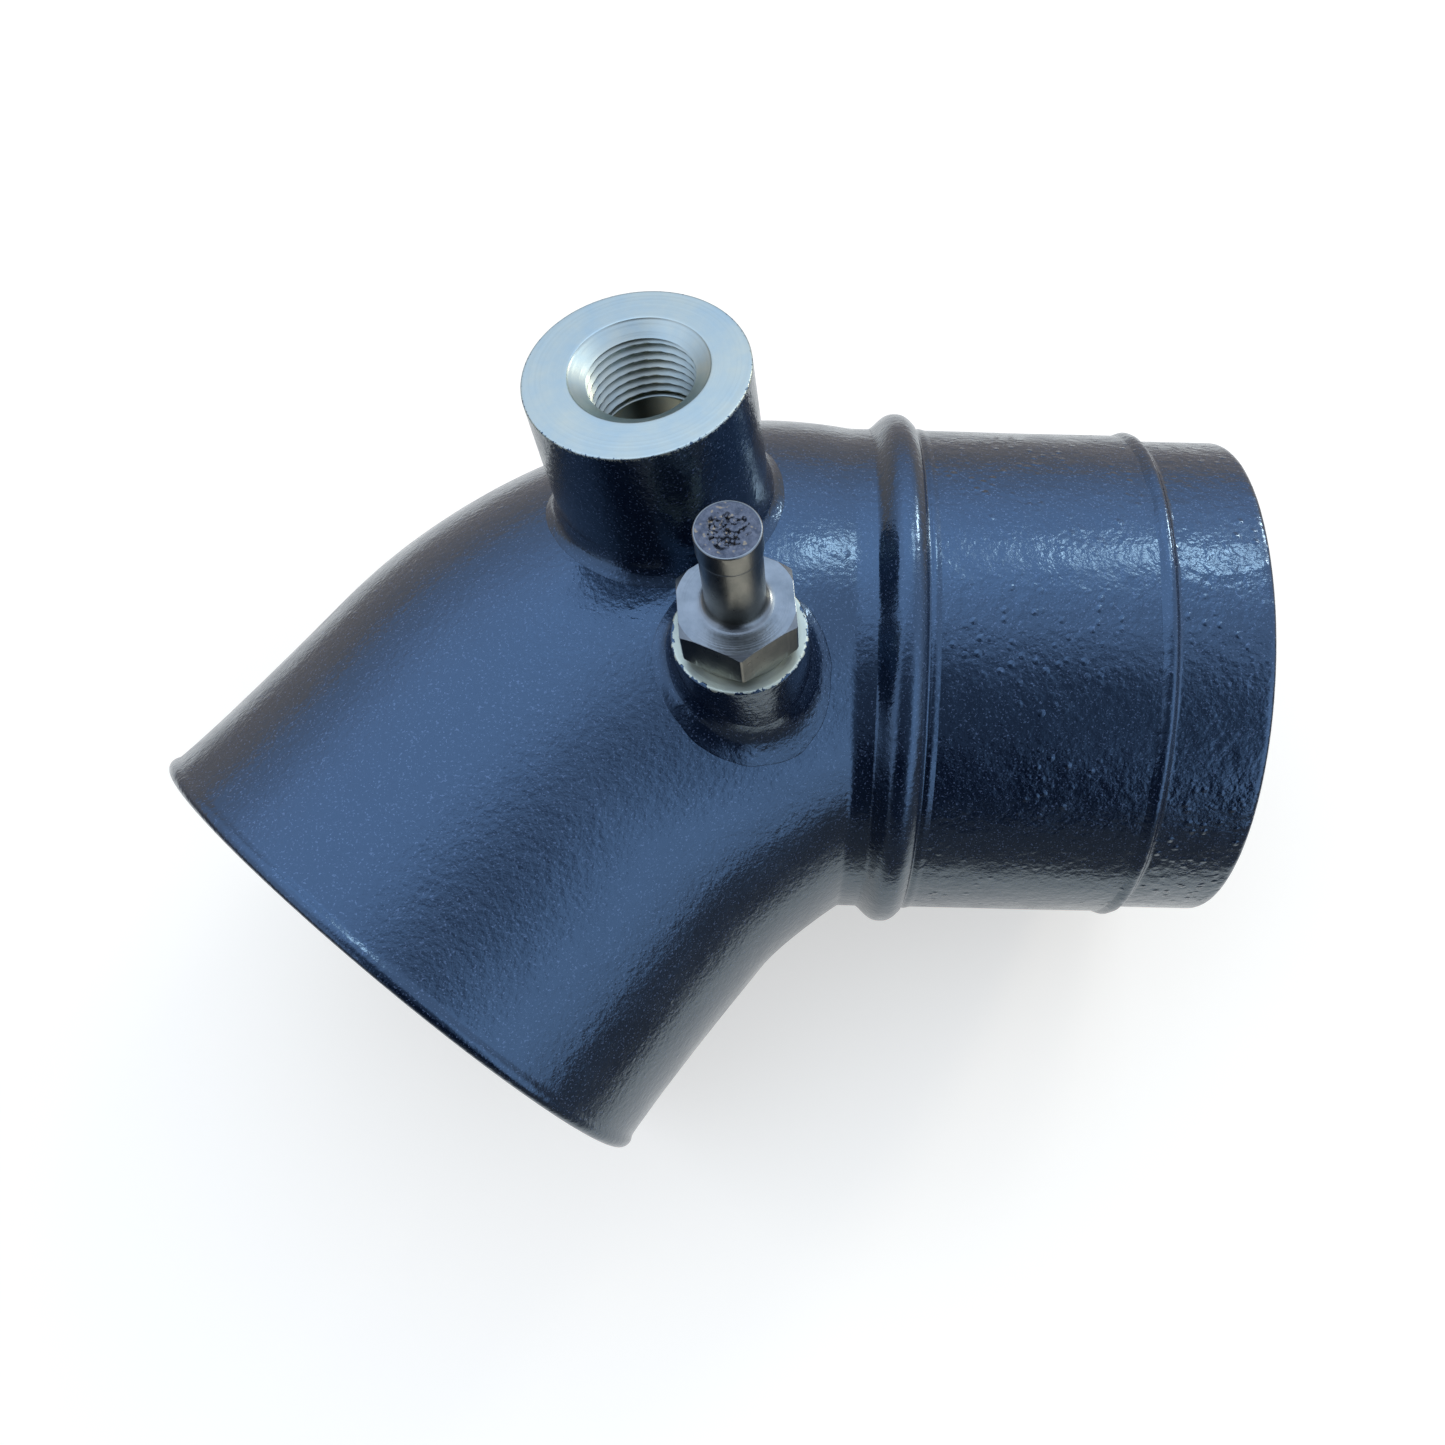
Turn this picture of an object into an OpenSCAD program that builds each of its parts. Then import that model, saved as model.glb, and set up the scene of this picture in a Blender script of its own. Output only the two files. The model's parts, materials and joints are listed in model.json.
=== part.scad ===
// Steel pipe elbow with a spigot end, a girth bead, a threaded port and a screwed-in hex nipple.
// Origin: on the straight tube's axis, where the spigot leaves its weld bead.
// +X points out of the spigot, the bend lies in the XY plane, +Z is the side of the bosses.

/* [Straight tube] */
// Outer diameter of the straight tube
tube_d = 101.6; // [101:0.1:102.2]
// Wall thickness of the straight tube
tube_wall = 2.5; // [2:0.1:3]
// Distance from the spigot's start back to the girth joint
tube_len = 49; // [46:0.5:56]

/* [Spigot] */
// Outer diameter of the turned spigot ring
spigot_d = 99.6; // [98.6:0.1:99.8]
// Length of spigot that stands out of the weld bead
spigot_len = 18.2; // [14:0.1:26]
// Bore of the spigot ring
spigot_bore = 93.2; // [90:0.1:94]
// How far the ring's pilot reaches into the straight tube
pilot_len = 10; // [6:0.5:16]
// Rounding of the spigot's outer edge
spigot_edge = 1.6; // [0.8:0.1:2]

/* [Girth bead] */
// Height of the half-round bead above the tube
bead_h = 3.1; // [2:0.1:4]
// Overall width of the bead
bead_w = 10.6; // [8:0.1:12]

/* [Elbow] */
// Straight lead between the girth joint and the bend
lead_len = 9.1; // [8:0.1:12]
// Bend radius of the centreline
bend_r = 78; // [76:0.5:82]
// Angle of the bend
bend_angle = 51.5; // [48:0.5:56]
// Straight run after the bend, up to the mouth
outlet_len = 44.5; // [42:0.5:52]
// Shell radius a third of the way from the bend's start to the mouth
belly_r = 56.2; // [54:0.1:57]
// Shell radius two thirds of the way
waist_r = 57.3; // [55:0.1:58]
// Shell radius at the mouth
mouth_r = 58.9; // [58:0.1:60]
// Wall thickness of the formed shell
shell_wall = 3; // [2.5:0.1:4]
// Radius of the rolled lip at the mouth
lip_r = 1.8; // [1.6:0.1:2]
// How far the lip stands out of the shell
lip_rise = 0.45; // [0.2:0.05:0.6]

/* [Threaded boss] */
// Outer diameter of the threaded boss
boss_d = 38.7; // [36:0.1:40]
// Distance of the boss's top face from the bend plane, along its axis
boss_top = 81.1; // [78:0.1:86]
// Distance round the bend of the boss's foot, in degrees
boss_station = 20.5; // [18:0.1:24]
// Offset of the foot towards the outside of the bend
boss_offset = 8.3; // [6:0.1:10]
// Tilt of the boss's axis from +Z
boss_tilt = 17.5; // [12:0.1:20]
// Heading of that tilt, from +X
boss_lean = 110; // [100:1:120]
// Minor diameter of the port's G 1/2 thread
port_minor = 18.631; // [18.631:0.001:18.631]
// Pitch of the port's thread
port_pitch = 1.814; // [1.814:0.001:1.814]
// Number of full threads in the port
port_turns = 7; // [6:1:8]
// How far the port's bore sits off the boss's axis, towards the spigot
port_off_x = 0.4; // [0:0.1:0.8]
// How far it sits off that axis, towards the outside of the bend
port_off_y = 0.6; // [0:0.1:0.8]
// Diameter of the countersink at the face
port_csk_d = 24.4; // [22:0.1:26]

/* [Nipple boss] */
// Top diameter of the nipple's boss
stub_d = 23.4; // [22:0.1:26]
// Distance of its top face from the bend plane, along its axis
stub_top = 65.5; // [64:0.1:70]
// Distance round the bend of the foot, in degrees
stub_station = 18.6; // [16:0.1:22]
// Offset of the foot towards the outside of the bend
stub_offset = -23.2; // [-26:0.1:-18]
// Tilt of the axis from +Z
stub_tilt = 10.6; // [6:0.1:14]
// Heading of that tilt, from +X
stub_lean = 105; // [95:1:115]

/* [Hex nipple] */
// Width across the flats of the hexagon
hex_af = 19; // [18:0.1:20]
// Height of the hexagon
hex_h = 8; // [6:0.1:9]
// Length of the round stub above the hexagon
pipe_len = 20.3; // [16:0.1:24]
// Diameter of the round stub
pipe_d = 10; // [9:0.1:10.2]
// Diameter of the collar at the stub's free end
collar_d = 10.5; // [10.4:0.1:11.5]
// Length of that collar
collar_len = 4.6; // [3:0.1:6]
// Turn of the hexagon about its axis
hex_turn = 36; // [0:1:60]
// Thickness of the sealing washer under the hexagon
washer_t = 2; // [1:0.1:2.5]

/* [Hidden] */
$fn = 96;
tube_r = tube_d / 2;
bore_r = tube_r - tube_wall;
spigot_r = spigot_d / 2;
// how far the tube's end stops short of the clear spigot
shoulder = 0.5;
// the ring's seat under the weld bead is a cone, so the plain spigot ends where the bead begins
seat_rise = 0.3;
seat_r = spigot_r + seat_rise;
// arc length of the bend, and of the swept part from the bend's start to the mouth
arc_len = bend_r * bend_angle * PI / 180;
run_len = arc_len + outlet_len;
// rings and sides of the swept shell
rings = 26;
sides = 48;
// depth of the cylindrical land inside the mouth
mouth_land = 9;
mouth_bore_r = mouth_r - 2.7;
// the weld collars round the bosses: width on the shell and height above it
port_toe = 2.6;
stub_toe = 3.9;
collar_h = 1.8;
// last station of the sweep that any boss reaches
boss_end = 18;
// threads: G 1/2 flank depth, crest width and the first groove's depth below the face
thread_h = 1.162;
crest_w = 0.4;
last_land = 0.6;
csk_depth = 2;
relief_r = 10.8;
// G 1/4 shank of the nipple and its running clearance in the boss
shank_r = 6.578;
shank_len = 9.5;
thread_gap = 0.05;
// clear bore through the nipple, and the pocket of the sintered plug
nipple_bore_r = 3;
plug_r = 4.9;
plug_len = 4.2;
paint_navy = [0.05, 0.08, 0.16];
zinc = [0.75, 0.78, 0.8];
stainless = [0.6, 0.58, 0.55];

// Heading of the centreline in degrees, s mm on from the girth joint
function heading(s) = s <= lead_len ? 180
    : s >= lead_len + arc_len ? 180 + bend_angle
    : 180 + (s - lead_len) / bend_r * 180 / PI;
function bend_point(a) = [-tube_len - lead_len - bend_r * sin(a), -bend_r * (1 - cos(a)), 0];
function centre(s) = s <= lead_len ? [-tube_len - s, 0, 0]
    : s <= lead_len + arc_len ? bend_point(heading(s) - 180)
    : bend_point(bend_angle) + (s - lead_len - arc_len) * [-cos(bend_angle), -sin(bend_angle), 0];
// Outer radius of the shell: the tube's radius up to the bend, then one cubic through four radii
function cubic(t, a, b, c, d) = a + (b - a) * t + (c - 2 * b + a) / 2 * t * (t - 1)
    + (d - 3 * c + 3 * b - a) / 6 * t * (t - 1) * (t - 2);
function shell_r(s) = s <= lead_len ? tube_r
    : cubic(3 * (s - lead_len) / run_len, tube_r, belly_r, waist_r, mouth_r);
// One ring of points square to the centreline, at radius r
function ring(s, r) = [for (i = [0:sides - 1]) let(t = 360 * i / sides, h = heading(s))
    centre(s) + r * [-sin(h) * cos(t), cos(h) * cos(t), sin(t)]];
// The swept part ends at the middle of the rolled lip
function station(i) = (lead_len + run_len - lip_r) * i / rings;

// Solid that fills the swept shell inset by the given depth, between two stations
module sweep(inset, first, last) {
    count = last - first + 1;
    points = [for (i = [first:last]) each ring(station(i), shell_r(station(i)) - inset)];
    walls = [for (i = [0:count - 2]) for (j = [0:sides - 1]) let(k = (j + 1) % sides, a = i * sides,
        b = a + sides) each [[a + j, b + k, a + k], [a + j, b + j, b + k]]];
    caps = [[for (j = [0:sides - 1]) j], [for (j = [sides - 1:-1:0]) (count - 1) * sides + j]];
    polyhedron(points, concat(walls, caps), convexity = 4);
}

// Closed tube swept along the whole elbow
module swept_tube(wall) {
    outer = [for (i = [0:rings]) each ring(station(i), shell_r(station(i)))];
    inner = [for (i = [0:rings]) each ring(station(i), shell_r(station(i)) - wall)];
    n = (rings + 1) * sides;
    skin = [for (i = [0:rings - 1]) for (j = [0:sides - 1]) let(k = (j + 1) % sides, a = i * sides,
        b = a + sides) each [[a + j, b + k, a + k], [a + j, b + j, b + k],
        [n + a + j, n + a + k, n + b + k], [n + a + j, n + b + k, n + b + j]]];
    ends = [for (j = [0:sides - 1]) let(k = (j + 1) % sides, e = rings * sides)
        each [[j, k, n + k], [j, n + k, n + j], [e + j, n + e + k, e + k], [e + j, n + e + j, n + e + k]]];
    polyhedron(concat(outer, inner), concat(skin, ends), convexity = 6);
}

// Places its children with +Z along +X, at the given x
module along_x(x) {
    translate([x, 0, 0]) rotate([0, 90, 0]) children();
}

// Places its children at the mouth, with +Z pointing out of it
module at_mouth() {
    translate(centre(lead_len + run_len)) rotate([0, 0, 180 + bend_angle]) rotate([0, 90, 0]) children();
}

// Places its children on a boss's axis, with z = 0 in the bend plane
module on_boss(station, offset, tilt, lean) {
    foot = bend_point(station) + offset * [-sin(station), cos(station), 0];
    translate(foot) rotate([0, 0, lean]) rotate([0, tilt, 0]) rotate([0, 0, -lean]) children();
}

module at_port() {
    on_boss(boss_station, boss_offset, boss_tilt, boss_lean) children();
}

module at_stub() {
    on_boss(stub_station, stub_offset, stub_tilt, stub_lean) children();
}

// Formed elbow shell, open at both ends, with holes for both bosses
module elbow_shell() {
    color(paint_navy) difference() {
        union() {
            swept_tube(shell_wall);
            at_mouth() rotate_extrude() translate([mouth_r + lip_rise - lip_r, -lip_r]) circle(r = lip_r);
        }
        at_mouth() translate([0, 0, -mouth_land]) cylinder(r = mouth_bore_r, h = mouth_land + 5);
        at_port() translate([0, 0, 30]) cylinder(d = boss_d, h = 60);
        at_stub() translate([0, 0, 30]) cylinder(d = stub_d, h = 60);
    }
}

// Tube between the girth joint and the spigot ring
module straight_tube() {
    color(paint_navy) along_x(-tube_len) difference() {
        cylinder(r = tube_r, h = tube_len - shoulder);
        translate([0, 0, -1]) cylinder(r = bore_r, h = tube_len + 1);
    }
}

// Half-round bead that covers the girth joint, with a low weld toe on the tube's side
module girth_bead() {
    w = bead_w / 2;
    color(paint_navy) along_x(-tube_len) rotate_extrude() polygon(concat(
        [[tube_r, -w], [tube_r + 0.2, -w]],
        [for (a = [-75:15:75]) [tube_r + 0.35 + (bead_h - 0.35) * cos(a), (w - 0.9) * sin(a)]],
        [[tube_r + 0.3, w], [tube_r + 0.12, w + 0.7], [tube_r, w + 1]]));
}

// Turned ring: its pilot sits in the straight tube and its spigot stands out
module spigot_ring() {
    color(paint_navy) along_x(0) rotate_extrude() polygon(concat(
        [[spigot_bore / 2, -pilot_len], [bore_r, -pilot_len], [bore_r, -shoulder], [seat_r, -shoulder],
            [spigot_r, 0]],
        [for (a = [0:15:90]) [spigot_r - spigot_edge * (1 - cos(a)),
            spigot_len - spigot_edge * (1 - sin(a))]],
        [[spigot_bore / 2, spigot_len]]));
}

// Weld bead in the corner between the tube's end and the spigot
module spigot_weld() {
    color(paint_navy) along_x(0) rotate_extrude() polygon([[seat_r, -shoulder], [tube_r, -shoulder],
        [tube_r, -2.2], [tube_r + 0.35, -1.9], [tube_r + 0.6, -1.3], [tube_r + 0.55, -0.7],
        [tube_r + 0.2, -0.35], [seat_r + 0.2, -0.1], [spigot_r, 0]]);
}

// Ring-shaped thread grooves below the countersink
module port_bore() {
    minor_r = port_minor / 2;
    start = csk_depth + 0.5;
    depth = start + port_turns * port_pitch + last_land;
    rotate([180, 0, 0]) {
        translate([0, 0, -1]) cylinder(r = minor_r, h = depth + 1.01);
        translate([0, 0, depth]) cylinder(r = relief_r, h = 60);
        translate([0, 0, -0.01]) cylinder(r1 = port_csk_d / 2, r2 = minor_r, h = csk_depth);
        for (i = [0:port_turns - 1]) translate([0, 0, start + i * port_pitch])
            thread_groove(minor_r - 0.2, thread_h + 0.2, port_pitch - crest_w);
    }
}

// V groove cut outwards from radius r
module thread_groove(r, depth, width) {
    rotate_extrude() polygon([[r, 0], [r + depth, width / 2 - 0.12], [r + depth, width / 2 + 0.12],
        [r, width]]);
}

// Boss with the G 1/2 port, cut to the shell's inside
module threaded_boss() {
    color(zinc) difference() {
        at_port() translate([0, 0, 30]) cylinder(d = boss_d, h = boss_top - 30);
        at_port() translate([port_off_x, port_off_y, boss_top]) port_bore();
        sweep(shell_wall, 0, boss_end);
    }
}

// Weld collar on the shell: the first child is its outline, the second is the boss inside it
module weld_collar() {
    color(paint_navy) difference() {
        intersection() {
            sweep(-collar_h, 0, boss_end);
            children(0);
        }
        children(1);
        sweep(0, 0, boss_end);
    }
}

module threaded_boss_weld() {
    weld_collar() {
        at_port() cylinder(r = boss_d / 2 + port_toe, h = 70);
        at_port() cylinder(d = boss_d, h = 71);
    }
}

// Smaller boss that takes the nipple's G 1/4 shank
module nipple_boss() {
    color(paint_navy) difference() {
        at_stub() translate([0, 0, 30]) cylinder(d = stub_d, h = stub_top - 30);
        at_stub() cylinder(r = shank_r + thread_gap, h = stub_top + 1);
        sweep(shell_wall, 0, boss_end);
    }
}

module nipple_boss_weld() {
    weld_collar() {
        at_stub() cylinder(r = stub_d / 2 + stub_toe, h = 70);
        at_stub() cylinder(d = stub_d, h = 71);
    }
}

// Flat ring between the boss and the hexagon
module sealing_washer() {
    color(zinc) at_stub() translate([0, 0, stub_top]) difference() {
        cylinder(r = 9.1, h = washer_t);
        translate([0, 0, -1]) cylinder(r = shank_r + 0.15, h = washer_t + 2);
    }
}

// Hexagon with both ends chamfered
module hex_head(af, h) {
    corner = af / sqrt(3);
    cut = corner - af / 2 - 0.45;
    rise = cut * tan(30);
    intersection() {
        cylinder(r = corner, h = h, $fn = 6);
        rotate_extrude() polygon([[0, 0], [corner - cut, 0], [corner, rise], [corner, h - rise],
            [corner - cut, h], [0, h]]);
    }
}

// Nipple: shank, hexagon and a round stub with a collar, bored through
module hex_nipple() {
    seat = stub_top + washer_t;
    color(stainless) at_stub() translate([0, 0, seat]) difference() {
        union() {
            translate([0, 0, -shank_len - washer_t]) cylinder(r = shank_r, h = shank_len + washer_t + 1);
            rotate([0, 0, hex_turn]) hex_head(hex_af, hex_h);
            cylinder(d = pipe_d, h = hex_h + pipe_len - 0.3);
            translate([0, 0, hex_h]) rotate_extrude() polygon(concat([[0, -1], [pipe_d / 2 + 1.5, -1]],
                [for (a = [0:15:90]) [pipe_d / 2 + 1.5 * (1 - sin(a)), 1.5 * (1 - cos(a))]], [[0, 1.5]]));
            translate([0, 0, hex_h + pipe_len - collar_len]) cylinder(d = collar_d, h = collar_len - 0.3);
            translate([0, 0, hex_h + pipe_len - 0.3])
                cylinder(r1 = collar_d / 2, r2 = collar_d / 2 - 0.25, h = 0.3);
        }
        translate([0, 0, -20]) cylinder(r = nipple_bore_r, h = 60);
        translate([0, 0, hex_h + pipe_len - plug_len]) cylinder(r = plug_r, h = plug_len + 1);
    }
}

// Porous plug flush in the nipple's free end
module sintered_plug() {
    color([0.2, 0.18, 0.17]) at_stub()
        translate([0, 0, stub_top + washer_t + hex_h + pipe_len - plug_len]) cylinder(r = plug_r, h = plug_len);
}

elbow_shell();
straight_tube();
girth_bead();
spigot_ring();
spigot_weld();
threaded_boss();
threaded_boss_weld();
nipple_boss();
nipple_boss_weld();
sealing_washer();
hex_nipple();
sintered_plug();
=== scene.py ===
import json
import math

import bmesh
import bpy
import numpy as np
from mathutils import Matrix, Vector


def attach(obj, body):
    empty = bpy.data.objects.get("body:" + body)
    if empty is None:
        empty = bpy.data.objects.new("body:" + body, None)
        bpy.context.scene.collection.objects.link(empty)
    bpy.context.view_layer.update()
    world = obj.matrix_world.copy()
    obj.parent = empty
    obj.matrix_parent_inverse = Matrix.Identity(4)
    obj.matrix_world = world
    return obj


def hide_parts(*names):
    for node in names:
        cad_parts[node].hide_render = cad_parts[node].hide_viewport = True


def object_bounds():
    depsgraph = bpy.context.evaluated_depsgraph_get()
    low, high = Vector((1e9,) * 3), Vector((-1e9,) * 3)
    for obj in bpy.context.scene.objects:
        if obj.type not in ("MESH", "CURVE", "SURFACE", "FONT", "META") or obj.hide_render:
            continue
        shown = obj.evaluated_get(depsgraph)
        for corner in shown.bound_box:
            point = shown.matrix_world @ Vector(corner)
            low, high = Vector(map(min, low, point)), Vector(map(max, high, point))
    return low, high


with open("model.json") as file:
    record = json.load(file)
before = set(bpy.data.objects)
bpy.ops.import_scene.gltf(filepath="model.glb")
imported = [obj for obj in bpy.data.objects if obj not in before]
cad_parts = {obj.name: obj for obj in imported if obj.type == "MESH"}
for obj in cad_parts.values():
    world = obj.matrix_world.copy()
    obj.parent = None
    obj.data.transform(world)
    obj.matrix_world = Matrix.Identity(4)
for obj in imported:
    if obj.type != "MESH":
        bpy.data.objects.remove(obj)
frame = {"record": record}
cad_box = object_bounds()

MM = 0.001
MOUNTS = {m["name"]: m for m in frame["record"]["mounts"]}

# ---------------------------------------------------------------- sizes, in millimetres
TUBE_R = 50.8
BORE_R = 48.3
SPIGOT_R = 49.8
SPIGOT_LEN = 18.2
SPIGOT_BORE_R = 46.6
PILOT_LEN = 10.0
SHOULDER = 0.5
SEAT_R = 50.1
GIRTH_X = -49.0
BEAD_RISE = 3.1
LEAD = 9.1
BEND_R = 78.0
BEND = math.radians(51.5)
OUTLET = 44.5
RADII = (TUBE_R, 56.2, 57.3, 58.9)
WALL = 3.0
LIP_R = 1.8
LIP_RISE = 0.45
MOUTH_WALL = 2.7
MOUTH_LAND = 9.0
BOSS_R = 19.35
PORT_TOP = 81.1
PORT_MINOR = 9.3155
PITCH = 1.814
THREAD_LEN = 13.8
THREAD_CUT = 1.05
HOLE_OFF = (0.4, 0.6)
CSK_R = 12.2
CSK_DEPTH = 2.0
RELIEF_R = 10.8
STUB_R = 11.7
STUB_TOP = 65.5
WASHER_T = 2.0
WASHER_R = 9.1
HEX_AF = 19.0
HEX_H = 8.0
HEX_CHAMFER = 0.45
PIPE_LEN = 20.3
PIPE_R = 5.0
PIPE_FILLET = 1.5
NIPPLE_BORE_R = 3.0
COLLAR_R = 5.25
COLLAR_LEN = 4.6
HEX_TURN = 36.0
SHANK_R = 6.578
SHANK_LEN = 9.5
SHANK_PITCH = 1.337
SHANK_CUT = 0.8
SHANK_NOSE = 0.8
PLUG_R = 4.9
PLUG_LEN = 4.2
ARC = BEND_R * BEND
RUN = ARC + OUTLET
TOTAL = LEAD + RUN
HEX_SEAT = STUB_TOP + WASHER_T
NIPPLE_TOP = HEX_SEAT + HEX_H + PIPE_LEN

# directions, wave numbers and phase of the four waves that make up the skin's unevenness
WAVES = ((1, 0.62, -0.41, 1.5), (-0.53, 1.1, 0.37, 9.5), (0.44, -0.5, 1.2, 20.5), (0.9, 0.8, 0.7, 13.5))


# ---------------------------------------------------------------- geometry of the bend
def centre(s):
    """Centreline point and heading at arc length s from the girth joint."""
    s = np.asarray(s, float)
    a = np.clip((s - LEAD) / BEND_R, 0, BEND)
    before = np.minimum(s, LEAD)
    after = np.maximum(s - LEAD - ARC, 0)
    x = GIRTH_X - before - BEND_R * np.sin(a) - after * math.cos(BEND)
    y = -BEND_R * (1 - np.cos(a)) - after * math.sin(BEND)
    return x, y, a


def shell_r(s):
    """Outer radius of the formed shell at arc length s."""
    a, b, c, d = RADII
    t = 3 * np.clip(np.asarray(s, float) - LEAD, 0, None) / RUN
    quadratic = a + (b - a) * t + (c - 2 * b + a) / 2 * t * (t - 1)
    return quadratic + (d - 3 * c + 3 * b - a) / 6 * t * (t - 1) * (t - 2)


def shell_point(s, t, r):
    """Point at arc length s, angle t round the centreline and distance r from it."""
    x, y, a = centre(s)
    ox, oy = -np.sin(a), np.cos(a)
    return np.stack([x + r * np.cos(t) * ox, y + r * np.cos(t) * oy, r * np.sin(t)], -1)


def skin_dip(s, p):
    """How far the uneven painted skin lies below the plain sweep; nothing at both ends."""
    calm = np.clip((TOTAL - 2 - s) / 12, 0, 1) * np.clip(s / 10, 0, 1)
    return calm * 0.14 * (0.5 + 0.5 * ripple(p, 44))


def shell_gap(p):
    """Distance of points outside the shell's outer skin."""
    x, y, z = p[..., 0], p[..., 1], p[..., 2]
    cx, cy = GIRTH_X - LEAD, -BEND_R
    a = np.arctan2(-(x - cx), y - cy)
    rho = np.hypot(x - cx, y - cy)
    on_arc = (a > 0) & (a < BEND)
    ex, ey = cx - BEND_R * math.sin(BEND), -BEND_R * (1 - math.cos(BEND))
    run = -(x - ex) * math.cos(BEND) - (y - ey) * math.sin(BEND)
    side = (x - ex) * -math.sin(BEND) + (y - ey) * math.cos(BEND)
    lateral = np.where(on_arc, rho - BEND_R, np.where(a <= 0, y, side))
    s = np.where(on_arc, LEAD + BEND_R * a, np.where(a <= 0, GIRTH_X - x, LEAD + ARC + run))
    return np.hypot(lateral, z) - shell_r(s) + skin_dip(s, p)


def ripple(p, size):
    """Smooth, repeatable noise in -1..1 with features of about the given size in mm."""
    x, y, z = p[..., 0], p[..., 1], p[..., 2]
    k = 2 * math.pi / size
    return sum(np.sin(k * (a * x + b * y + c * z) + phase) for a, b, c, phase in WAVES) / len(WAVES)


class Axis:
    """A boss's own axis: foot in the bend plane, direction, and two square directions."""

    def __init__(self, mount):
        d = np.array(mount["axis"])
        p = np.array(mount["pos_m"]) / MM
        self.d = d / np.linalg.norm(d)
        self.foot = p - self.d * (p[2] / self.d[2])
        e = np.array([1.0, 0, 0]) - self.d * self.d[0]
        self.e1 = e / np.linalg.norm(e)
        self.e2 = np.cross(self.d, self.e1)

    def at(self, r, t, h):
        """Point at radius r, angle t and height h."""
        r, t, h = np.broadcast_arrays(r, t, h)
        return (self.foot + r[..., None] * (np.cos(t)[..., None] * self.e1 + np.sin(t)[..., None] * self.e2)
                + h[..., None] * self.d)


HOLE = Axis(MOUNTS["port_thread"])
PORT = Axis(MOUNTS["port_thread"])
PORT.foot = HOLE.foot - HOLE_OFF[0] * HOLE.e1 - HOLE_OFF[1] * HOLE.e2
STUB = Axis(MOUNTS["hose_stub"])


def drop_to(axis, r, t, inset):
    """Height along the axis where the line at (r, t) meets the shell inset by that depth."""
    r, t = np.broadcast_arrays(np.asarray(r, float), np.asarray(t, float))
    lo, hi = np.full(r.shape, 20.0), np.full(r.shape, 75.0)
    for _ in range(40):
        mid = (lo + hi) / 2
        inside = shell_gap(axis.at(r, t, mid)) < -inset
        lo, hi = np.where(inside, mid, lo), np.where(inside, hi, mid)
    return lo


# ---------------------------------------------------------------- mesh helpers
def grid_object(name, points, values=None, sharp=40):
    """Quad mesh from points[u, v], closed round u and along v; values go into the attribute bare."""
    nu, nv = points.shape[:2]
    u, v = np.meshgrid(np.arange(nu), np.arange(nv), indexing="ij")
    u2, v2 = (u + 1) % nu, (v + 1) % nv
    faces = np.stack([u * nv + v, u2 * nv + v, u2 * nv + v2, u * nv + v2], -1).reshape(-1, 4)
    mesh = bpy.data.meshes.new(name)
    mesh.from_pydata((points.reshape(-1, 3) * MM).tolist(), [], faces.tolist())
    if values is not None:
        layer = mesh.attributes.new("bare", "FLOAT", "POINT")
        layer.data.foreach_set("value", np.ascontiguousarray(values.reshape(-1), dtype=np.float32))
    mesh.update()
    obj = bpy.data.objects.new(name, mesh)
    bpy.context.scene.collection.objects.link(obj)
    fix_normals(obj)
    smooth(obj, sharp)
    return obj


def fix_normals(obj):
    """Joins doubled points and turns every face outwards."""
    bm = bmesh.new()
    bm.from_mesh(obj.data)
    bmesh.ops.remove_doubles(bm, verts=bm.verts, dist=1e-7)
    bmesh.ops.recalc_face_normals(bm, faces=bm.faces)
    bm.to_mesh(obj.data)
    bm.free()


def smooth(obj, sharp=40):
    """Smooth shading, with edges over the sharp angle in degrees kept crisp."""
    mesh = obj.data
    mesh.polygons.foreach_set("use_smooth", [True] * len(mesh.polygons))
    mesh.set_sharp_from_angle(angle=math.radians(sharp))
    mesh.update()


def cut(obj, cutters, sharp=40):
    """Exact boolean difference, applied to the mesh."""
    for c in cutters:
        m = obj.modifiers.new("cut", "BOOLEAN")
        m.operation, m.solver, m.object = "DIFFERENCE", "EXACT", c
    graph = bpy.context.evaluated_depsgraph_get()
    mesh = bpy.data.meshes.new_from_object(obj.evaluated_get(graph))
    obj.modifiers.clear()
    old = obj.data
    obj.data = mesh
    bpy.data.meshes.remove(old)
    for c in cutters:
        bpy.data.objects.remove(c)
    smooth(obj, sharp)


def rounded(points, radius, steps=4):
    """Closed (a, b) outline with each corner rounded; radius may be a number or one per corner."""
    n = len(points)
    radii = radius if isinstance(radius, (list, tuple)) else [radius] * n
    out = []
    for i in range(n):
        p0, p1, p2 = (np.array(points[(i + k) % n], float) for k in (-1, 0, 1))
        a, b = p0 - p1, p2 - p1
        la, lb = np.linalg.norm(a), np.linalg.norm(b)
        r = min(radii[i], 0.49 * la, 0.49 * lb)
        if r < 1e-4:
            out.append(p1)
            continue
        q0, q2 = p1 + a / la * r, p1 + b / lb * r
        for k in range(steps + 1):
            w = k / steps
            out.append((1 - w) ** 2 * q0 + 2 * w * (1 - w) * p1 + w * w * q2)
    return np.array(out)


def dense(outline, step):
    """Adds points to a closed outline so that no gap is over the given step."""
    out = []
    n = len(outline)
    for i in range(n):
        a, b = outline[i], outline[(i + 1) % n]
        k = max(1, int(math.ceil(np.linalg.norm(b - a) / step)))
        out += [a + (b - a) * j / k for j in range(k)]
    return np.array(out)


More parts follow.
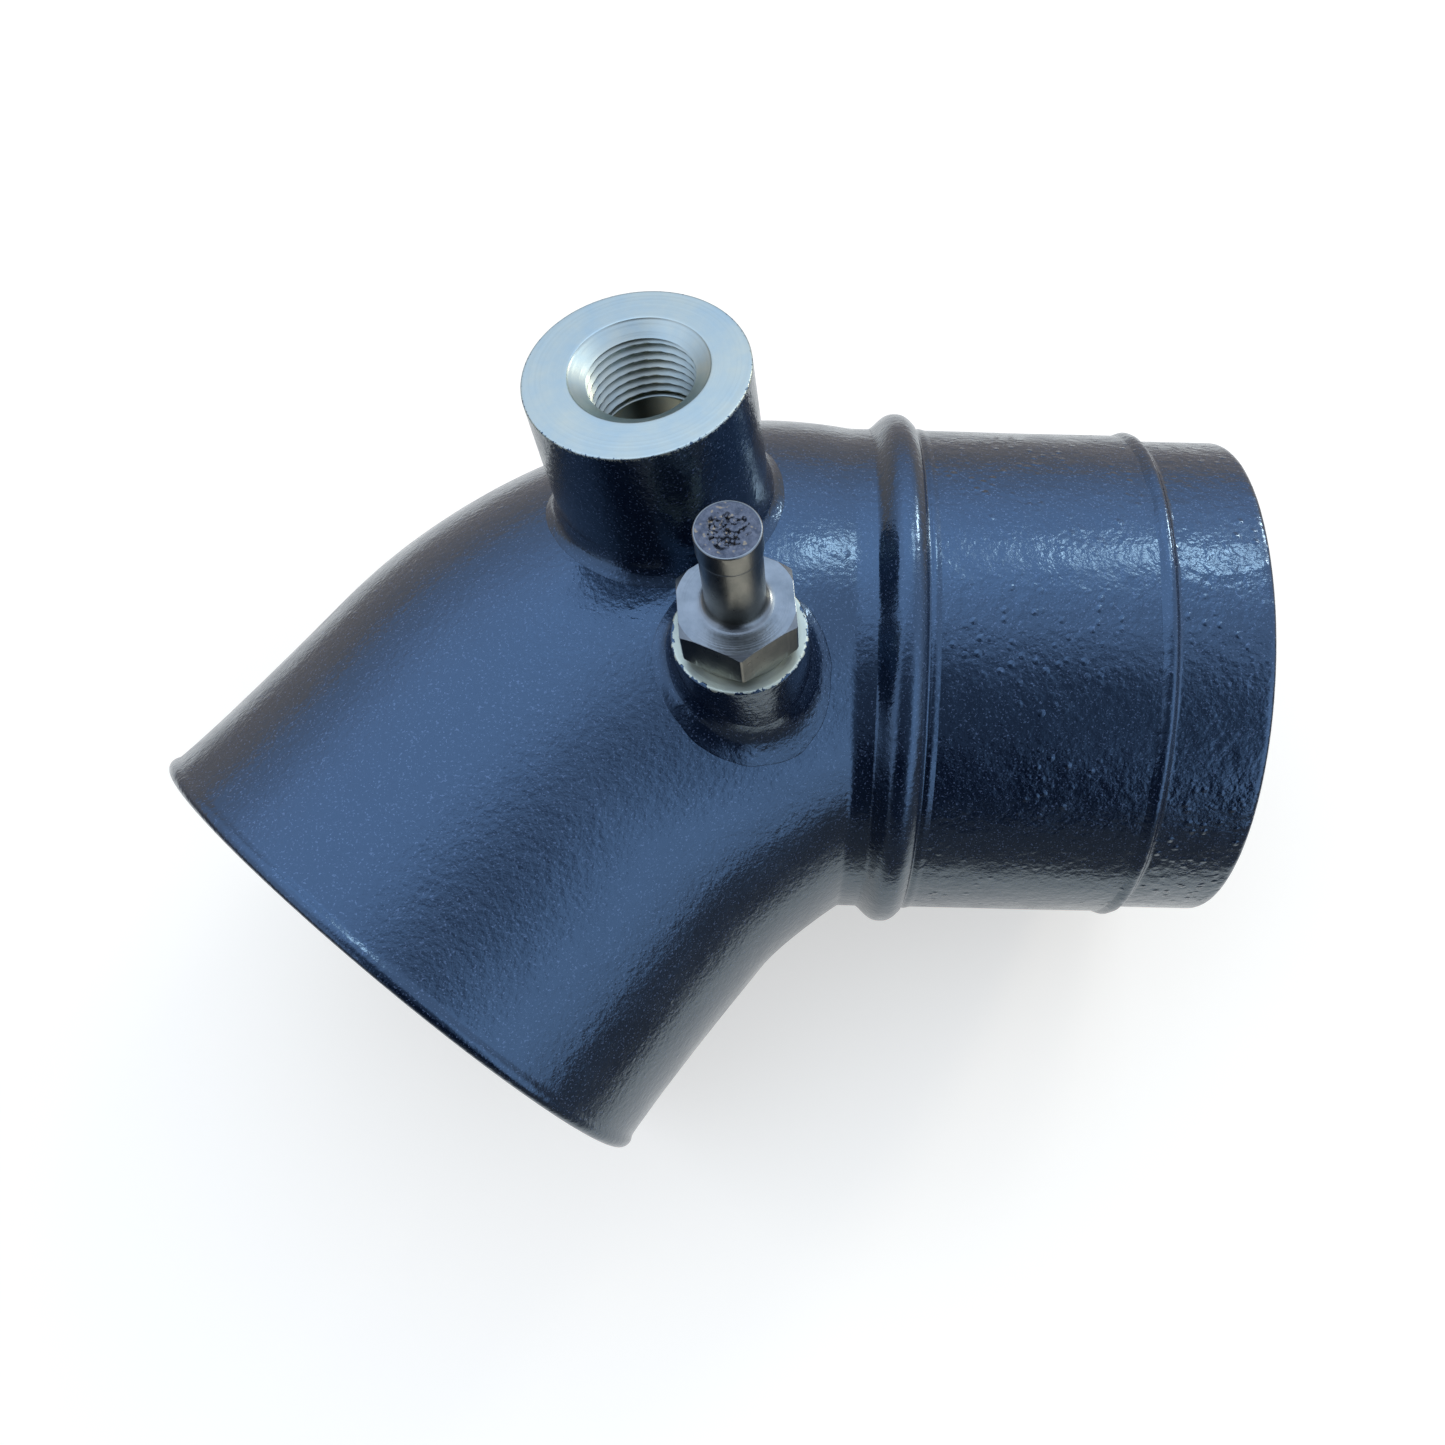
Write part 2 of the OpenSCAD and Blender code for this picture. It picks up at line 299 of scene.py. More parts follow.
def turned(name, outline, sides=256, wobble=0.0, size=26, sharp=40):
    """Ring turned about the tube's axis from a closed outline of (x, radius)."""
    t = np.linspace(0, 2 * math.pi, sides, endpoint=False)
    x = outline[:, 0][None, :] + 0 * t[:, None]
    r = outline[:, 1][None, :] + 0 * t[:, None]
    p = np.stack([x, -r * np.cos(t)[:, None], r * np.sin(t)[:, None]], -1)
    if wobble:
        w = -wobble * (0.5 + 0.5 * ripple(p, size))
        p[..., 1] += -w * np.cos(t)[:, None]
        p[..., 2] += w * np.sin(t)[:, None]
    return grid_object(name, p, sharp=sharp)


def cylinder_cutter(axis, r):
    """Solid cylinder through the shell's wall, to cut a boss's hole."""
    t = np.linspace(0, 2 * math.pi, 256, endpoint=False)
    rows = [(0.001, 20), (r, 20), (r, 90), (0.001, 90)]
    return grid_object("cutter", np.stack([axis.at(a, t, b) for a, b in rows], 1))


class Skin:
    """Closed skin of rings round an axis; each ring says how much bare metal it shows."""

    def __init__(self, axis, sides, shift=(0, 0, 0)):
        self.axis = axis
        self.t = np.linspace(0, 2 * math.pi, sides, endpoint=False)
        self.shift = np.array(shift)
        self.rings, self.bare = [], []

    def ring(self, r, h, bare=0.0, slide=0.0):
        """Ring of radius r at height h, moved sideways by that share of the shift."""
        self.rings.append(self.axis.at(r, self.t, h) + slide * self.shift)
        self.bare.append(np.full(self.t.shape, bare))

    def corner(self, r, h, size, angles, bare=(0.0, 0.0)):
        """Rounds the edge between a wall of radius r and a face at height h."""
        for a in angles:
            ra = math.radians(a)
            share = bare[0] + (bare[1] - bare[0]) * a / 90
            self.ring(r - size + size * math.cos(ra), h - size + size * math.sin(ra), share)

    def build(self, name, sharp, masked=False):
        values = np.stack(self.bare, 1) if masked else None
        return grid_object(name, np.stack(self.rings, 1), values, sharp)


# ---------------------------------------------------------------- pieces
def make_elbow():
    """Swept shell with a rolled lip at the mouth and a hole under each boss."""
    end = TOTAL
    outer = [(s, 0.0) for s in np.linspace(0, end - 4.2, 150)]
    neck = [(end - 3.8, 0.0), (end - 3.45, 0.01), (end - 3.2, 0.045), (end - 3.0, 0.105), (end - 2.85, 0.17)]
    lip = [(end - LIP_R + LIP_R * math.sin(a), LIP_RISE - LIP_R + LIP_R * math.cos(a))
           for a in np.radians(np.arange(-30, 137, 6))]
    land = [(end - 0.75, -MOUTH_WALL), (end - MOUTH_LAND, -MOUTH_WALL), (end - MOUTH_LAND - 1.0, -WALL)]
    inner = [(s, -WALL) for s in np.linspace(end - MOUTH_LAND - 4, 0, 60)]
    path = np.array(outer + neck + lip + land + inner)
    t = np.linspace(0, 2 * math.pi, 320, endpoint=False)
    s, dr = path[:, 0][None, :], path[:, 1][None, :]
    r = shell_r(s) + dr + 0 * t[:, None]
    p = shell_point(s + 0 * t[:, None], t[:, None] + 0 * s, r)
    p = shell_point(s + 0 * t[:, None], t[:, None] + 0 * s, r - (dr > -1) * skin_dip(s, p))
    obj = grid_object("elbow_skin", p, sharp=60)
    cut(obj, [cylinder_cutter(PORT, BOSS_R - 0.3), cylinder_cutter(STUB, STUB_R - 0.3)], sharp=60)
    return obj


def make_tube():
    o = rounded([(GIRTH_X, BORE_R), (-SHOULDER, BORE_R), (-SHOULDER, TUBE_R), (GIRTH_X, TUBE_R)], 0.1, 2)
    return turned("tube_skin", dense(o, 1.2), wobble=0.12)


def make_bead():
    """Half-round bead with a shallow groove and a soft ridge along its foot on the tube's side."""
    def dome(x, reach):
        return x, BEAD_RISE * (0.5 + 0.5 * math.cos(math.pi * (abs(x) / reach) ** 1.3)) ** 0.75

    left = [dome(x, 5.3) for x in np.linspace(-5.25, 0, 22)]
    right = [dome(x, 5.0) for x in np.linspace(0.25, 3.5, 14)]
    foot = [(3.75, 0.42), (4.0, 0.2), (4.2, 0.12), (4.4, 0.12), (4.6, 0.19), (4.85, 0.27), (5.15, 0.27),
            (5.5, 0.2), (5.9, 0.08), (6.2, 0.02)]
    under = [(6.2, -0.05), (-5.25, -0.05)]
    skin = [(x, max(h, 0.02)) for x, h in left + right + foot]
    o = np.array([(GIRTH_X + x, TUBE_R + h) for x, h in skin + under])
    return turned("bead_ring", o, sides=360, wobble=0.07)


def make_spigot():
    """End ring: the clear spigot, the conical seat of the weld and the pilot inside the tube."""
    o = rounded([(-PILOT_LEN, SPIGOT_BORE_R), (SPIGOT_LEN, SPIGOT_BORE_R), (SPIGOT_LEN, SPIGOT_R),
                 (0.0, SPIGOT_R), (-SHOULDER, SEAT_R), (-SHOULDER, BORE_R), (-PILOT_LEN, BORE_R)],
                [0.5, 0.7, 1.6, 0.0, 0.0, 0.1, 0.3], 6)
    return turned("spigot_skin", dense(o, 1.2), wobble=0.1)


def make_spigot_weld():
    """Uneven bead over the step; the crown's rises are over the tube, then over the spigot."""
    crown = [(-3.2, 0.02), (-2.9, 0.12), (-2.5, 0.34), (-2.0, 0.55), (-1.5, 0.66), (-1.0, 0.64), (-0.6, 0.48),
             (-0.3, 0.18)]
    toe = [(-0.1, 0.75), (0.15, 0.4), (0.5, 0.15), (0.9, 0.03), (0.9, -0.04), (0.0, -0.02)]
    o = [(-SHOULDER, SEAT_R), (-SHOULDER, TUBE_R - 0.05), (-3.2, TUBE_R - 0.05)]
    o += [(x, TUBE_R + h) for x, h in crown] + [(x, SPIGOT_R + h) for x, h in toe]
    return turned("spigot_weld_bead", np.array(o), sides=480, wobble=0.22, size=11)


def thread_depth(phase):
    """V thread form with a narrow crest and root: 0 on the crest, 1 at the root, for phase 0..1."""
    tri = np.abs(2 * (phase % 1.0) - 1)
    return np.clip((1 - tri) * 1.16 - 0.08, 0, 1)


def make_port_boss():
    """Large boss: painted wall, bare face, countersink, helical thread and relief."""
    top = PORT_TOP
    skin = Skin(PORT, 240, HOLE.foot - PORT.foot)
    ring, t = skin.ring, skin.t

    low = drop_to(PORT, BOSS_R, t, WALL)
    for w in np.arange(24) / 24:
        ring(BOSS_R, low * (1 - w) + (top - 1.4) * w)
    for h, b in ((1.4, 0.0), (1.0, 0.2), (0.75, 0.33), (0.5, 0.45)):
        ring(BOSS_R, top - h, b)
    skin.corner(BOSS_R, top, 0.3, (15, 40, 65, 90), (0.47, 0.64))
    for r, slide, b in ((18.8, 0, 0.85), (18.4, 0, 1.0), (17.6, 0.1, 1.0), (16.0, 0.35, 1.0),
                        (14.0, 0.7, 1.0), (12.6, 1.0, 1.0)):
        ring(r, top, b, slide)

    for a in np.radians((0, 30, 60, 90)):
        ring(CSK_R + 0.12 - 0.25 * math.sin(a), top - 0.12 * (1 - math.cos(a)), 1.0, 1.0)
    for w in np.linspace(0.1, 1, 8):
        ring(CSK_R - 0.13 + (PORT_MINOR - CSK_R + 0.13) * w, top - 0.12 - (CSK_DEPTH - 0.12) * w, 1.0, 1.0)

    start = top - CSK_DEPTH
    for z in np.linspace(0.0, THREAD_LEN, int(THREAD_LEN / PITCH * 24)):
        fade = min(1.0, max(0.0, (THREAD_LEN - 0.35 - z) / 0.5))
        depth = THREAD_CUT * fade * thread_depth((z + 1.1) / PITCH - t / (2 * math.pi))
        ring(PORT_MINOR + depth, start - z, 1.0, 1.0)

    end = start - THREAD_LEN
    for z in (0.25, 0.7):
        ring(PORT_MINOR + (RELIEF_R - PORT_MINOR) * min(1, z / 0.6), end - z, 1.0, 1.0)
    inner_low = drop_to(HOLE, RELIEF_R, t, WALL)
    for w in (0.15, 0.5, 1.0):
        ring(RELIEF_R, (end - 0.8) * (1 - w) + inner_low * w, 1.0, 1.0)
    for w in (0.3, 0.7):
        r = RELIEF_R * (1 - w) + BOSS_R * w
        ring(r, drop_to(PORT, r, t, WALL))
    return skin.build("port_boss", 35, masked=True)


def make_stub_boss():
    """Small boss: painted wall, bare rounded top and the hole for the nipple's shank."""
    skin = Skin(STUB, 200)
    ring, t = skin.ring, skin.t
    hole = SHANK_R + 0.05
    low = drop_to(STUB, STUB_R, t, WALL)
    for w in np.arange(20) / 20:
        ring(STUB_R, low * (1 - w) + (STUB_TOP - 1.6) * w)
    for h, b in ((1.6, 0.05), (1.2, 0.15), (0.8, 0.3)):
        ring(STUB_R, STUB_TOP - h, b)
    skin.corner(STUB_R, STUB_TOP, 0.5, (0, 25, 50, 75, 90), (0.38, 0.60))
    for r, b in ((11.0, 0.68), (10.7, 0.85), (10.3, 1.0), (8.5, 1.0), (hole + 0.3, 1.0)):
        ring(r, STUB_TOP, b)
    ring(hole, STUB_TOP - 0.3, 1.0)
    for r in (hole, (hole + STUB_R) / 2):
        ring(r, drop_to(STUB, r, t, WALL))
    return skin.build("stub_boss", 35, masked=True)


def make_fillet(name, axis, r, width, height, seed):
    """Weld round a boss: a flare that leaves the wall steeply and ends in a toe on the shell."""
    t = np.linspace(0, 2 * math.pi, 320, endpoint=False)
    wave = 1 + 0.035 * np.sin(5 * t + seed) + 0.02 * np.sin(11 * t + 2.3 * seed)
    wave = wave + 0.01 * np.sin(19 * t + seed)
    profile = [(0, 1), (0.04, 0.84), (0.1, 0.67), (0.2, 0.48), (0.32, 0.34), (0.44, 0.25), (0.56, 0.18),
               (0.68, 0.125), (0.79, 0.08), (0.88, 0.046), (0.95, 0.018), (1.0, -0.005)]
    pu, pl = np.array(profile).T
    u = np.linspace(0, 1, 34)
    rows = []
    for ui, li in zip(u, np.interp(u, pu, pl)):
        ring_r = r + 0.01 + width * wave * ui
        rows.append(axis.at(ring_r, t, drop_to(axis, ring_r, t, 0.0) + height * wave * li))
    for w in (1.0, 0.5, 0.0):
        ring_r = r + 0.01 + width * wave * w
        rows.append(axis.at(ring_r, t, drop_to(axis, ring_r, t, 0.3)))
    return grid_object(name, np.stack(rows, 1), sharp=60)


def make_washer():
    lo, hi = STUB_TOP + 0.01, HEX_SEAT - 0.01
    hole = SHANK_R + 0.15
    skin = Skin(STUB, 144)
    for r, h in rounded([(hole, lo), (WASHER_R, lo), (WASHER_R, hi), (hole, hi)], 0.18, 3):
        skin.ring(r, h)
    return skin.build("washer_ring", 35)


def make_nipple():
    """Threaded shank, chamfered hexagon, neck with a collar and a pocket for the plug."""
    skin = Skin(STUB, 360)
    ring, t = skin.ring, skin.t

    foot = STUB_TOP - SHANK_LEN
    ring(NIPPLE_BORE_R, foot)
    ring(SHANK_R - SHANK_NOSE - 0.3, foot)
    ring(SHANK_R - 0.75, foot + SHANK_NOSE)
    length = SHANK_LEN + WASHER_T - SHANK_NOSE - 1.6
    for z in np.linspace(0, length, int(length / SHANK_PITCH * 16)):
        fade = min(1.0, (length - z) / 0.5)
        d = thread_depth(z / SHANK_PITCH + t / (2 * math.pi) + 0.5)
        lead_in = 0.75 * (1 - min(1.0, z / 0.8)) * (1 - d)
        ring(SHANK_R - 0.02 - SHANK_CUT * d * fade - lead_in, foot + SHANK_NOSE + z)
    ring(SHANK_R - 0.5, HEX_SEAT - 1.5)
    ring(SHANK_R - 0.5, HEX_SEAT)

    # the angle from the middle of a corner, 0 at a corner and 30 degrees in the middle of a flat
    corner = (t - math.radians(HEX_TURN) + math.pi / 6) % (math.pi / 3) - math.pi / 6
    side = HEX_AF / 2 / np.cos(math.pi / 6 - np.abs(corner))
    side = np.minimum(side, HEX_AF / 2 / math.cos(math.pi / 6) - 0.1)
    chamfer_r = HEX_AF / 2 + HEX_CHAMFER
    rim = np.minimum(side, chamfer_r)
    low = np.maximum(side - chamfer_r, 0) * math.tan(math.radians(30))
    hex_top = HEX_SEAT + HEX_H
    ring(8.6, HEX_SEAT)
    ring(rim - 0.05, HEX_SEAT)
    ring(rim, HEX_SEAT + 0.03)
    for w in (0, 0.25, 0.5, 0.75, 1):
        ring(side, HEX_SEAT + low + 0.07 + (HEX_H - 2 * low - 0.14) * w)
    ring(rim, hex_top - 0.04)
    ring(rim - 0.07, hex_top)
    for r in (8.4, 7.6, 6.9):
        ring(r, hex_top)

    for a in np.radians(np.arange(0, 91, 10)):
        ring(PIPE_R + PIPE_FILLET * (1 - math.sin(a)), hex_top + PIPE_FILLET * (1 - math.cos(a)))
    neck = NIPPLE_TOP - COLLAR_LEN
    for h in np.linspace(hex_top + PIPE_FILLET + 0.5, neck - 0.6, 10):
        ring(PIPE_R, h)
    for w in np.arange(7) / 6:
        ring(PIPE_R + (COLLAR_R - PIPE_R) * (0.5 - 0.5 * math.cos(math.pi * w)), neck - 0.45 + 0.6 * w)
    for h in (neck + 0.6, neck + 1.6, neck + 2.8, NIPPLE_TOP - 0.7):
        ring(COLLAR_R, h)
    skin.corner(COLLAR_R, NIPPLE_TOP, 0.28, range(0, 91, 15))
    ring(PLUG_R + 0.04, NIPPLE_TOP)
    ring(PLUG_R + 0.01, NIPPLE_TOP - 0.05)
    ring(PLUG_R + 0.01, NIPPLE_TOP - PLUG_LEN)
    ring(NIPPLE_BORE_R, NIPPLE_TOP - PLUG_LEN)
    return skin.build("nipple", 24)


def make_plug():
    """Porous disc: a rough patch of fused grains inside a smoother rim."""
    rng = np.random.default_rng(7)
    grains = rng.uniform(-PLUG_R, PLUG_R, (620, 2))
    size = rng.uniform(0.18, 0.5, len(grains))
    lift = rng.uniform(-0.5, 0.12, len(grains))
    skin = Skin(STUB, 220)
    t = skin.t
    patch_r = 3.35 + 0.25 * np.sin(3 * t + 1) + 0.15 * np.sin(7 * t + 2)
    skin.ring(0.02, NIPPLE_TOP - PLUG_LEN)
    skin.ring(PLUG_R, NIPPLE_TOP - PLUG_LEN)
    skin.ring(PLUG_R, NIPPLE_TOP - 0.1)
    for r in np.linspace(PLUG_R, 0.02, 70):
        x, y = r * np.cos(t), r * np.sin(t)
        d = np.hypot(x[:, None] - grains[:, 0], y[:, None] - grains[:, 1]) / size
        dome = lift + size * 0.6 * np.sqrt(np.clip(1 - d * d, 0, 1)) - 0.15
        grain_top = np.where(d < 1, dome, -0.8).max(1)
        rough = np.clip((patch_r - r) / 0.5, 0, 1)
        skin.ring(r, NIPPLE_TOP - 0.04 + rough * np.clip(grain_top, -0.75, 0.03))
    return skin.build("sinter_disc", 50)


# ---------------------------------------------------------------- materials
class Graph:
    """Adds and links the nodes of one node tree."""

    def __init__(self, tree, coords):
        self.tree = tree
        self.coords = tree.nodes.new("ShaderNodeTexCoord").outputs[coords]

    def put(self, socket, value):
        """Links the socket to a value that is a socket, and stores any other value in it."""
        if isinstance(value, bpy.types.NodeSocket):
            self.tree.links.new(value, socket)
        elif socket.type == "RGBA" and len(value) == 3:
            socket.default_value = (*value, 1)
        else:
            socket.default_value = value

    def add(self, kind, inputs=None, **props):
        node = self.tree.nodes.new(kind)
        for k, v in props.items():
            setattr(node, k, v)
        for k, v in (inputs or {}).items():
            self.put(node.inputs[k], v)
        return node

    def math(self, op, a, b=0.0):
        return self.add("ShaderNodeMath", {0: a, 1: b}, operation=op).outputs[0]

    def vector(self, op, inputs, output=0):
        return self.add("ShaderNodeVectorMath", inputs, operation=op).outputs[output]

    def smoothstep(self, value, low, high, at_low=0.0, at_high=1.0):
        """Smooth change from at_low to at_high while the value goes from low to high."""
        return self.add("ShaderNodeMapRange", {0: value, 1: low, 2: high, 3: at_low, 4: at_high},
                        interpolation_type="SMOOTHSTEP").outputs[0]


class Nodes(Graph):
    """Node tree of a new material, with the textures its builders share."""

    def __init__(self, name):
        self.mat = bpy.data.materials.new(name)
        self.mat.use_nodes = True
        super().__init__(self.mat.node_tree, "Object")
        self.shader = self.tree.nodes["Principled BSDF"]

    def noise(self, scale, detail=2.0, rough=0.5):
        return self.add("ShaderNodeTexNoise", {"Vector": self.coords, "Scale": scale, "Detail": detail,
                                               "Roughness": rough}).outputs["Fac"]

    def cells(self, scale):
        """Distance to the nearest of scattered points."""
        return self.add("ShaderNodeTexVoronoi", {"Vector": self.coords, "Scale": scale}).outputs["Distance"]

    def ramp(self, fac, stops):
        node = self.add("ShaderNodeValToRGB", {"Fac": fac})
        for e, (pos, value) in zip(node.color_ramp.elements, stops):
            e.position = pos
            e.color = (value, value, value, 1)
        return node.outputs["Color"]

    def mix(self, fac, a, b):
        """Colour a where fac is 0, and b where it is 1."""
        return self.add("ShaderNodeMix", {0: fac, 6: a, 7: b}, data_type="RGBA").outputs[2]

    def lerp(self, fac, a, b):
        """Number a where fac is 0, and b where it is 1."""
        return self.add("ShaderNodeMix", {0: fac, 2: a, 3: b}, data_type="FLOAT").outputs[0]

    def rings(self, axis, scale, detail=2.0):
        """Noise that only changes with the distance from the axis: marks left by turning."""
        arm = self.vector("SUBTRACT", {0: self.coords, 1: tuple(axis.foot * MM)})
        radius = self.vector("LENGTH", {0: self.vector("CROSS_PRODUCT", {0: arm, 1: tuple(axis.d)})}, "Value")
        return self.add("ShaderNodeTexNoise", {"W": radius, "Scale": scale, "Detail": detail},
                        noise_dimensions="1D").outputs["Fac"]

    def bump(self, height, distance, strength, normal=None):
        ins = {"Height": height, "Distance": distance, "Strength": strength}
        if normal is not None:
            ins["Normal"] = normal
        return self.add("ShaderNodeBump", ins).outputs["Normal"]

    def set(self, **values):
        for k, v in values.items():
            self.put(self.shader.inputs[k.replace("_", " ")], v)


NAVY = (0.0022, 0.0042, 0.009)
NAVY_LIGHT = (0.0035, 0.0065, 0.013)
SPECK = (0.08, 0.095, 0.12)
ENAMEL_IOR = 1.85
ENAMEL_TINT = (0.60, 0.84, 1.0, 1)


def paint_parts(n, pits, wave, hide=None):
    """Colour, roughness and normal of the enamel; pits and wave say how lumpy it is, hide masks the lumps."""
    broad = n.ramp(n.noise(22, 3, 0.6), [(0.35, 0.0), (0.7, 1.0)])
    haze = n.ramp(n.noise(130, 5, 0.7), [(0.4, 0.0), (0.66, 1.0)])
    colour = n.mix(broad, NAVY, NAVY_LIGHT)
    specks = n.ramp(n.noise(2500, 1, 0.5), [(0.61, 0.0), (0.72, 1.0)])
    colour = n.mix(n.math("MULTIPLY", specks, 0.8), colour, SPECK)
    rough = n.math("ADD", n.math("MULTIPLY", n.noise(45, 4, 0.65), 0.2), n.math("MULTIPLY", haze, 0.09))
    rough = n.math("ADD", rough, 0.06)
    shown = 1.0 if hide is None else n.math("SUBTRACT", 1.0, hide)
    normal = n.bump(n.math("MULTIPLY", n.noise(900, 2, 0.6), shown), 0.0004, 0.22)
    normal = n.bump(n.math("MULTIPLY", n.noise(300, 3, 0.55), shown), 0.0012, wave, normal)
    lumps = n.ramp(n.cells(430), [(0.0, 1.0), (0.34, 0.0)])
    patch = n.ramp(n.noise(60, 4, 0.65), [(0.47, 0.0), (0.62, 1.0)])
    lumps = n.math("MULTIPLY", n.math("MULTIPLY", lumps, patch), n.math("MULTIPLY", shown, pits))
    normal = n.bump(lumps, 0.001, 0.3, normal)
    return colour, rough, normal


def set_enamel(n, colour, rough, normal, **more):
    n.set(Base_Color=colour, Roughness=rough, Normal=normal, IOR=ENAMEL_IOR, Specular_Tint=ENAMEL_TINT,
          **more)


def paint_material(name, pits, wave):
    n = Nodes(name)
    set_enamel(n, *paint_parts(n, pits, wave))
    return n.mat


def masked_material(name, metal, tint, metal_rough, ragged, scale, axis):
    """Bare turned metal where the attribute says so, enamel elsewhere, with a ragged edge between."""
    n = Nodes(name)
    bare = n.add("ShaderNodeAttribute", attribute_name="bare").outputs["Fac"]
    edge = n.math("ADD", bare, n.math("MULTIPLY", n.math("SUBTRACT", n.noise(scale, 3, 0.7), 0.5), ragged))
    mask = n.ramp(edge, [(0.49, 0.0), (0.53, 1.0)])
    colour, rough, normal = paint_parts(n, 0.25, 0.08, mask)
    blotch = n.ramp(n.noise(120, 4, 0.65), [(0.35, 0.0), (0.7, 1.0)])
    marks = n.rings(axis, 1500, 3)
    dull = tuple(0.75 * v for v in metal)
    bare_colour = n.mix(n.math("MULTIPLY", marks, 0.22), n.mix(blotch, metal, tint), dull)
    bare_rough = n.math("ADD", n.math("MULTIPLY", n.noise(400, 3, 0.6), 0.12), metal_rough)
    normal = n.bump(n.math("MULTIPLY", marks, mask), 0.0001, 0.2, normal)
    set_enamel(n, n.mix(mask, colour, bare_colour), n.lerp(mask, rough, bare_rough), normal, Metallic=mask)
    return n.mat


def zinc_material():
    return masked_material("zinc_boss", (0.42, 0.45, 0.36), (0.54, 0.50, 0.34), 0.3, 1.1, 2100, HOLE)


def stub_material():
    return masked_material("stub_boss", (0.62, 0.58, 0.37), (0.50, 0.49, 0.36), 0.42, 1.0, 420, STUB)


def stainless_material():
    n = Nodes("stainless")
    marks = n.rings(STUB, 3000)
    blotch = n.ramp(n.noise(260, 3, 0.6), [(0.3, 0.0), (0.7, 1.0)])
    colour = n.mix(blotch, (0.17, 0.17, 0.145), (0.25, 0.24, 0.20))
    rough = n.math("ADD", n.math("MULTIPLY", n.noise(900, 2, 0.5), 0.12), 0.24)
    normal = n.bump(n.noise(1800, 2, 0.5), 0.0002, 0.1)
    n.set(Base_Color=colour, Roughness=rough, Metallic=1.0, Normal=n.bump(marks, 0.0002, 0.15, normal))
    return n.mat


def washer_material():
    n = Nodes("washer")
    n.set(Base_Color=n.mix(n.noise(300, 3, 0.6), (0.20, 0.19, 0.16), (0.34, 0.32, 0.27)), Roughness=0.42,
          Metallic=1.0)
    return n.mat


def sinter_material():
    n = Nodes("sinter")
    grain = n.noise(900, 3, 0.6)
    colour = n.mix(n.ramp(grain, [(0.35, 0.0), (0.65, 1.0)]), (0.05, 0.052, 0.055), (0.13, 0.125, 0.12))
    gold = n.ramp(n.noise(1100, 1, 0.5), [(0.62, 0.0), (0.7, 1.0)])
    colour = n.mix(n.math("MULTIPLY", gold, 0.7), colour, (0.34, 0.24, 0.12))
    n.set(Base_Color=colour, Roughness=n.math("ADD", n.math("MULTIPLY", grain, 0.3), 0.25), Metallic=0.55,
          Normal=n.bump(n.noise(2600, 2, 0.6), 0.0003, 0.5))
    return n.mat


# ---------------------------------------------------------------- build
paint_smooth = paint_material("enamel_shell", 0.15, 0.08)
paint_lumpy = paint_material("enamel_lumpy", 1.0, 0.26)
paint_tube = paint_material("enamel_tube", 0.8, 0.16)
PIECES = [
    (make_elbow, "elbow_shell", "pipe", "shell_paint", paint_smooth),
    (make_tube, "straight_tube", "pipe", "tube_paint", paint_tube),
    (make_bead, "girth_bead", "pipe", "bead_paint", paint_smooth),
    (make_spigot, "spigot_ring", "pipe", "ring_paint", paint_lumpy),
    (make_spigot_weld, "spigot_weld", "pipe", "weld_paint", paint_tube),
    (make_port_boss, "threaded_boss", "pipe", "zinc_boss", zinc_material()),
    (make_stub_boss, "nipple_boss", "pipe", "stub_boss_paint", stub_material()),
    (make_washer, "sealing_washer", "seal", "washer", washer_material()),
    (make_nipple, "hex_nipple", "nipple", "stainless", stainless_material()),
    (make_plug, "sintered_plug", "nipple", "sinter", sinter_material()),
]
for maker, node, body, slot, material in PIECES:
    piece = maker()
    piece.data.materials.clear()
    piece.data.materials.append(material)
    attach(piece, body)
    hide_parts(node)
for name, axis, r, width, height, node in (("port_boss_weld", PORT, BOSS_R, 2.7, 4.4, "threaded_boss_weld"),
                                           ("stub_boss_weld", STUB, STUB_R, 3.9, 5.6, "nipple_boss_weld")):
    piece = make_fillet(name, axis, r, width, height, 1.3 + width)
    piece.data.materials.append(paint_smooth)
    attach(piece, "pipe")
    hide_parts(node)


